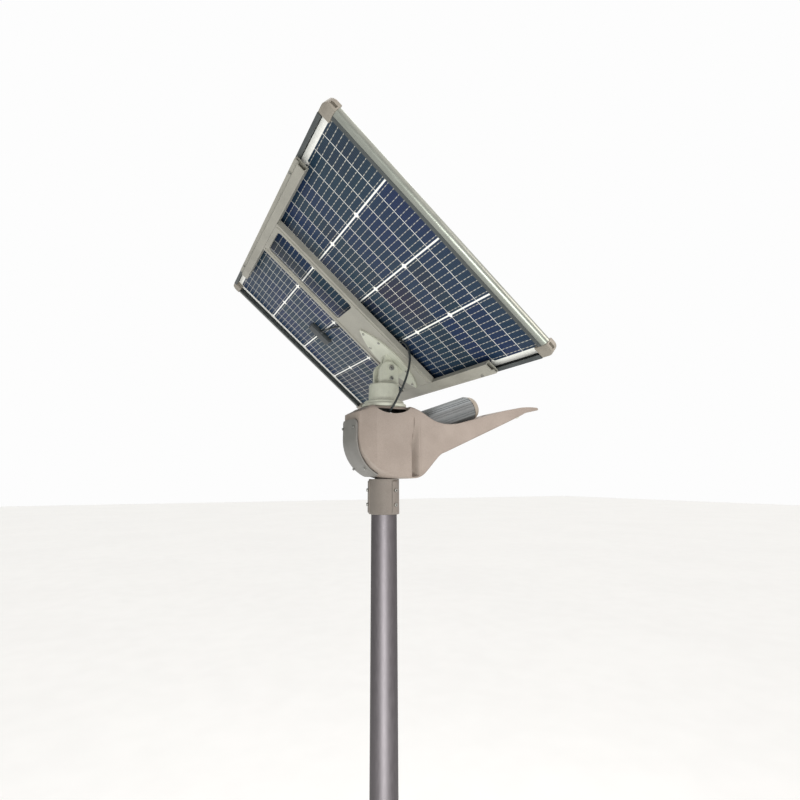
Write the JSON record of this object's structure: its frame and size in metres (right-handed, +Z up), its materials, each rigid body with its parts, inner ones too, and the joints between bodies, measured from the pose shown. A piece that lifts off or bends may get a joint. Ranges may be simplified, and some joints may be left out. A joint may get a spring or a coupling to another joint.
{
  "type": "solar street lamp",
  "caption": "Solar street lamp: steel pole, cast lamp head with a finned battery pack lying in its arm, and a two-sided solar panel on a swivel and tilt bracket.",
  "frame": {"origin": "centre of the underside of the base plate, on the pole's axis", "axes": "+Z up the pole, +X along the lamp arm, +Y along the panel's tilt axis"},
  "size_m": [1.0924, 1.2, 3.4218],
  "materials": {
    "pole_paint": "semi-gloss powder coat over galvanised steel",
    "galvanised_steel": "hot-dip galvanised",
    "stainless_steel": "plain stainless",
    "housing_paint": "warm grey-beige powder coat on cast aluminium",
    "bracket_paint": "greenish-grey powder coat on cast aluminium",
    "carrier_paint": "warm grey powder coat on steel",
    "battery_aluminium": "extruded, satin anodised",
    "end_cap_plastic": "moulded, fine satin",
    "rubber_black": "moulded",
    "frame_grey": "dark grey anodised aluminium, silver outer trim",
    "clear_glass": "clear, tempered",
    "solar_cells": "silicon cells in encapsulant",
    "lens_clear": "clear polycarbonate",
    "led_board": "white solder mask on aluminium board",
    "cell_wrap": "shrink sleeve over cells",
    "box_plastic": "moulded",
    "sensor_white": "moulded",
    "lead_jacket": "extruded jacket"
  },
  "bodies": {
    "lamp": {"base_plate": "pole_paint", "pole_tube": "pole_paint", "anchor_bolt_1": "galvanised_steel", "anchor_bolt_2": "galvanised_steel", "anchor_bolt_3": "galvanised_steel", "anchor_bolt_4": "galvanised_steel", "pole_collar": "housing_paint", "lamp_housing": "housing_paint", "rear_cover": "housing_paint", "collar_screw_1": "stainless_steel", "collar_screw_2": "stainless_steel", "collar_screw_3": "stainless_steel", "collar_screw_4": "stainless_steel", "rear_cover_screw_1": "stainless_steel", "rear_cover_screw_2": "stainless_steel", "rear_cover_screw_3": "stainless_steel", "rear_cover_screw_4": "stainless_steel", "rear_gasket": "rubber_black", "battery_gasket": "rubber_black", "charge_controller": "box_plastic", "led_lens": "lens_clear", "led_board": "led_board", "motion_sensor": "sensor_white", "battery_shell": "battery_aluminium", "battery_cap_front": "end_cap_plastic", "battery_cap_rear": "end_cap_plastic", "battery_cells": "cell_wrap", "top_cap": "bracket_paint", "panel_lead": "lead_jacket"},
    "swivel": {"swivel_clevis": "bracket_paint", "swivel_set_screw": "stainless_steel", "pivot_bolt": "stainless_steel", "pivot_nut": "stainless_steel", "lock_bolt": "stainless_steel"},
    "panel": {"leaf_plate": "bracket_paint", "leaf_screw_1": "stainless_steel", "leaf_screw_2": "stainless_steel", "leaf_screw_3": "stainless_steel", "leaf_screw_4": "stainless_steel", "leaf_screw_5": "stainless_steel", "leaf_screw_6": "stainless_steel", "carrier_spine": "carrier_paint", "crossbar_upper": "carrier_paint", "crossbar_lower": "carrier_paint", "frame_screw_upper_1": "stainless_steel", "frame_screw_upper_2": "stainless_steel", "frame_screw_lower_1": "stainless_steel", "frame_screw_lower_2": "stainless_steel", "frame_long_upper": "frame_grey", "frame_long_lower": "frame_grey", "frame_short_near": "frame_grey", "frame_short_far": "frame_grey", "corner_cap_1": "end_cap_plastic", "corner_cap_2": "end_cap_plastic", "corner_cap_3": "end_cap_plastic", "corner_cap_4": "end_cap_plastic", "glass_rear": "clear_glass", "cell_layer": "solar_cells", "glass_front": "clear_glass", "junction_box": "box_plastic"}
  },
  "joints": [
    {"name": "panel_swivel", "type": "hinge", "parent": "lamp", "child": "swivel", "pos_m": [0, 0, 2.8408], "axis": [0, 0, 1], "range_deg": [-40, 40], "deforming": ["panel_lead"]},
    {"name": "panel_tilt", "type": "hinge", "parent": "swivel", "child": "panel", "pos_m": [0.012, 0, 2.961], "axis": [0, 1, 0], "range_deg": [-25, 8], "deforming": ["panel_lead"]}
  ]
}
